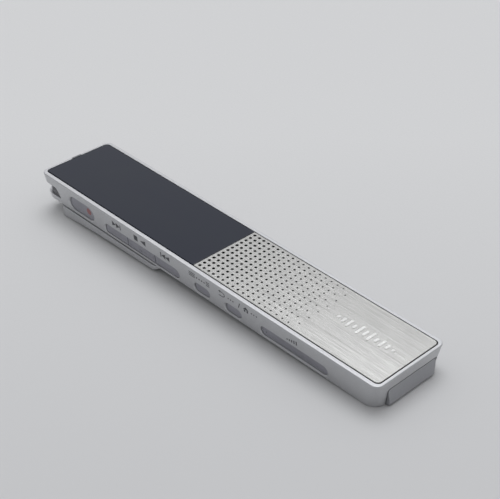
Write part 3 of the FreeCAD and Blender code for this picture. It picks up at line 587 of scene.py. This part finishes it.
def pointer(x, down, wide, tall, way):
    """A triangle that points along X (way 1) or against it (way -1)."""
    tip = x + wide if way > 0 else x
    base = x if way > 0 else x + wide
    return [(base, down), (tip, down + tall / 2), (base, down + tall)]


def dots(x, count, step, radius):
    """A row of round dots halfway down the marks."""
    return [disc(x + i * step, MARK_MIDDLE, radius) for i in range(count)]


def disc(x, down, radius):
    """A dot of sixteen sides."""
    turns = [2 * math.pi * i / 16 for i in range(16)]
    return [(x + radius * math.cos(a), down + radius * math.sin(a)) for a in turns]


def arc_strip(x, down, radius, wide, start, end, steps=10):
    """A curved stroke, as quads between two angles in degrees."""
    angles = [math.radians(start + (end - start) * i / steps) for i in range(steps + 1)]
    quads = []
    for a, b in zip(angles, angles[1:]):
        inner = radius - wide / 2
        outer = radius + wide / 2
        corners = [(inner, a), (outer, a), (outer, b), (inner, b)]
        quads.append([(x + r * math.cos(t), down + r * math.sin(t)) for r, t in corners])
    return quads


def skip_mark(centre, way):
    """Two triangles against a bar."""
    left = centre - POINTER_WIDTH if way > 0 else centre - POINTER_WIDTH + THICK_STROKE
    starts = (left, left + POINTER_WIDTH)
    marks = [pointer(x, MARK_TOP, POINTER_WIDTH, MARK_HEIGHT, way) for x in starts]
    bar_x = left + 2 * POINTER_WIDTH if way > 0 else left - THICK_STROKE
    return marks + [bar(bar_x, MARK_TOP, THICK_STROKE, MARK_HEIGHT)]


def stop_play_mark(x):
    """A block and a triangle on each side of x."""
    block = bar(x - 1.6, MARK_TOP, 1.2, MARK_HEIGHT)
    return [block, pointer(x + 0.5, MARK_TOP, 1.7, MARK_HEIGHT, -1)]


def list_mark(x):
    """Long lines, a row of dots and short lines."""
    tops = [MARK_TOP + i * LIST_STEP for i in range(3)]
    lines = [bar(x - 2.4, top, 1.9, THIN_STROKE) for top in tops]
    lines += dots(x, 4, 0.75, 0.2)
    return lines + [bar(x + 2.8, top, 1.0, THIN_STROKE) for top in tops]


def return_arrow(x):
    """An arrow that bends back on itself."""
    strokes = arc_strip(x + 1.3, MARK_MIDDLE, 0.48, THIN_STROKE, -90, 90)
    strokes.append(bar(x + 0.1, MARK_FOOT - THIN_STROKE - 0.02, 1.2, THIN_STROKE))
    strokes.append(bar(x + 0.6, MARK_TOP + 0.02, 0.7, THIN_STROKE))
    strokes.append(pointer(x, MARK_TOP - 0.22, 0.62, 0.68, -1))
    return strokes


def house(x):
    """A roof over two door posts, 1.6 wide."""
    eaves = MARK_MIDDLE + 0.02
    post_top = MARK_MIDDLE + 0.1
    posts = [bar(x + offset, post_top, 0.42, MARK_FOOT - post_top) for offset in (0.2, 0.98)]
    return [[(x, eaves), (x + 0.8, MARK_TOP), (x + 1.6, eaves)]] + posts


def return_home_mark(x):
    """A return arrow and a house with a slash between them, each followed by dots."""
    slash = [(x + 0.5, MARK_FOOT), (x + 0.72, MARK_FOOT), (x + 1.2, MARK_TOP), (x + 0.98, MARK_TOP)]
    arrow = return_arrow(x - 5.2) + dots(x - 2.3, 3, 0.7, 0.17)
    return arrow + [slash] + house(x + 2.0) + dots(x + 4.4, 3, 0.7, 0.17)


def loudness_mark(x):
    """Five bars that grow along X."""
    heights = [0.3 + i * 0.18 for i in range(5)]
    return [bar(x + i * 0.62, MARK_FOOT - tall, 0.3, tall) for i, tall in enumerate(heights)]


def side_marks():
    """Generic signs over the keys: skip, stop and play, a list, return and home, and loudness."""
    marks = {
        "rewind_mark": skip_mark(middle_x("rewind_key") + 0.75, 1),
        "forward_mark": skip_mark(middle_x("forward_key") - 0.35, -1),
        "stop_play_mark": stop_play_mark(middle_x("play_key")),
        "list_mark": list_mark(middle_x("option_key") - 1.2),
        "return_home_mark": return_home_mark(middle_x("back_key") + 1.2),
        "loudness_mark": loudness_mark(middle_x("volume_key") - 1.6),
    }
    ink = print_grey()
    for name, polygons in marks.items():
        print_polygons(name, polygons, ink)


# ---------------------------------------------------------------- microphone mesh
WIRE_RADIUS = 0.055
WIRE_PITCH = 0.28
WIRE_SIDES = 6
WIRE_SWAY = 0.04
WIRE_PROUD = 0.085               # from the backing sheet to the middle of the woven wire
BACKING_CORNER = 2.2
SLOT_SLANT = 1.35                # how much further along the slot starts at its top than at its foot


def tube(builder, points):
    """A closed round wire along points."""
    rings = []
    for i, point in enumerate(points):
        before = points[max(i - 1, 0)]
        after = points[min(i + 1, len(points) - 1)]
        along = (after - before).normalized()
        turn = along.to_track_quat("Z", "X")
        ring = []
        for k in range(WIRE_SIDES):
            angle = 2 * math.pi * k / WIRE_SIDES
            offset = turn @ Vector((math.cos(angle), math.sin(angle), 0)) * (WIRE_RADIUS * MM)
            ring.append(builder.verts.new(point + offset))
        rings.append(ring)
    for near, far in zip(rings, rings[1:]):
        for k in range(WIRE_SIDES):
            after = (k + 1) % WIRE_SIDES
            builder.faces.new((near[k], near[after], far[after], far[k]))
    builder.faces.new(rings[0][::-1])
    builder.faces.new(rings[-1])


def mic_mesh(side, name, node, wire):
    """Woven wire round the corner of the case in front of a microphone, on side 1 (+Y) or -1."""
    low, high = (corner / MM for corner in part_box(node))
    corner = BACKING_CORNER + WIRE_PROUD
    outer_y = max(abs(low.y), abs(high.y)) + WIRE_PROUD
    inner_y = min(abs(low.y), abs(high.y))
    end_x = low.x - WIRE_PROUD
    centre = (end_x + corner, outer_y - corner)
    straight = high.x - centre[0]
    bend = corner * math.pi / 2
    length = straight + bend + (centre[1] - inner_y)

    def spot(travel, z, out):
        """A point of the sheet: travel starts at the straight end and runs round the corner."""
        if travel < straight:
            x, y = high.x - travel, outer_y + out
        elif travel < straight + bend:
            angle = (travel - straight) / corner
            reach = corner + out
            x = centre[0] - reach * math.sin(angle)
            y = centre[1] + reach * math.cos(angle)
        else:
            x, y = end_x - out, centre[1] - (travel - straight - bend)
        return Vector((x, side * y, z)) * MM

    def start_of(z):
        """How far along the sheet a wire at height z starts, where the slot's end slants."""
        return WIRE_RADIUS + min(1.0, max(0.0, (z - low.z) / (high.z - low.z))) * SLOT_SLANT

    builder = bmesh.new()
    rows = int((high.z - low.z) / WIRE_PITCH)
    columns = int(length / WIRE_PITCH)
    row_heights = [low.z + WIRE_PITCH * (row + 0.5) for row in range(rows)]
    for row, z in enumerate(row_heights):
        start = start_of(z)
        steps = int((length - start - WIRE_RADIUS) / (WIRE_PITCH / 2))
        points = []
        for i in range(steps + 1):
            travel = start + i * WIRE_PITCH / 2
            phase = math.pi * (travel / WIRE_PITCH + row)
            points.append(spot(travel, z, WIRE_SWAY * math.cos(phase)))
        tube(builder, points)
    for column in range(1, columns):
        travel = column * WIRE_PITCH
        crossed = sum(start_of(z) < travel for z in row_heights)
        if crossed < 2:
            continue
        points = []
        for i in range(2 * crossed + 1):
            z = low.z + WIRE_RADIUS + i * WIRE_PITCH / 2
            if z > high.z - WIRE_RADIUS:
                break
            phase = math.pi * ((z - low.z) / WIRE_PITCH - 0.5 + column)
            points.append(spot(travel, z, -WIRE_SWAY * math.cos(phase)))
        tube(builder, points)
    new_piece(name, builder, wire, "recorder_body")


# ---------------------------------------------------------------- floor
def make_floor():
    """A wide pale sheet, tilted so that the heel of the clip and the far end both rest on it."""
    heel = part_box("clip")[0]
    case_low, case_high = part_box("case_frame")
    heel_x = heel.x + HEEL_SETBACK
    rest_x = case_high.x - FAR_SETBACK
    slope = math.atan2(case_low.z - heel.z, rest_x - heel_x)
    builder = bmesh.new()
    bmesh.ops.create_grid(builder, x_segments=8, y_segments=8, size=FLOOR_HALF)
    mesh = bpy.data.meshes.new("floor")
    builder.to_mesh(mesh)
    builder.free()
    floor = bpy.data.objects.new("floor", mesh)
    bpy.context.scene.collection.objects.link(floor)
    place = Matrix.Translation((heel_x, 0, heel.z - FLOOR_DROP))
    floor.matrix_world = place @ Matrix.Rotation(-slope, 4, "Y")
    look = Look("floor_paper", (0.725, 0.725, 0.725), 0.8)
    # painted shade on the floor: darker towards the camera, standing in for light that falls off
    across = look.add("VectorMath", {0: look.place(), 1: PAINTED_FALLOFF_ALONG}, operation="DOT_PRODUCT")
    look.tint(look.spread(across.outputs["Value"], PAINTED_FALLOFF_START, PAINTED_FALLOFF_END), (0.60, 0.60, 0.605))
    grain = look.noise(0.5, detail=3.0)
    look.tint(look.spread(grain, 0, 1, 0, 0.2), (0.63, 0.63, 0.63))
    look.vary("Roughness", grain, 0.76, 0.84)
    mesh.materials.append(look.material)


# ---------------------------------------------------------------- build
make_camera()
make_lights()
dress_frame()
make_floor()
side_marks()
mesh_wire = wire_grey()
mic_mesh(-1, "left_mic_mesh", "left_mic_grille", mesh_wire)
mic_mesh(1, "right_mic_mesh", "right_mic_grille", mesh_wire)
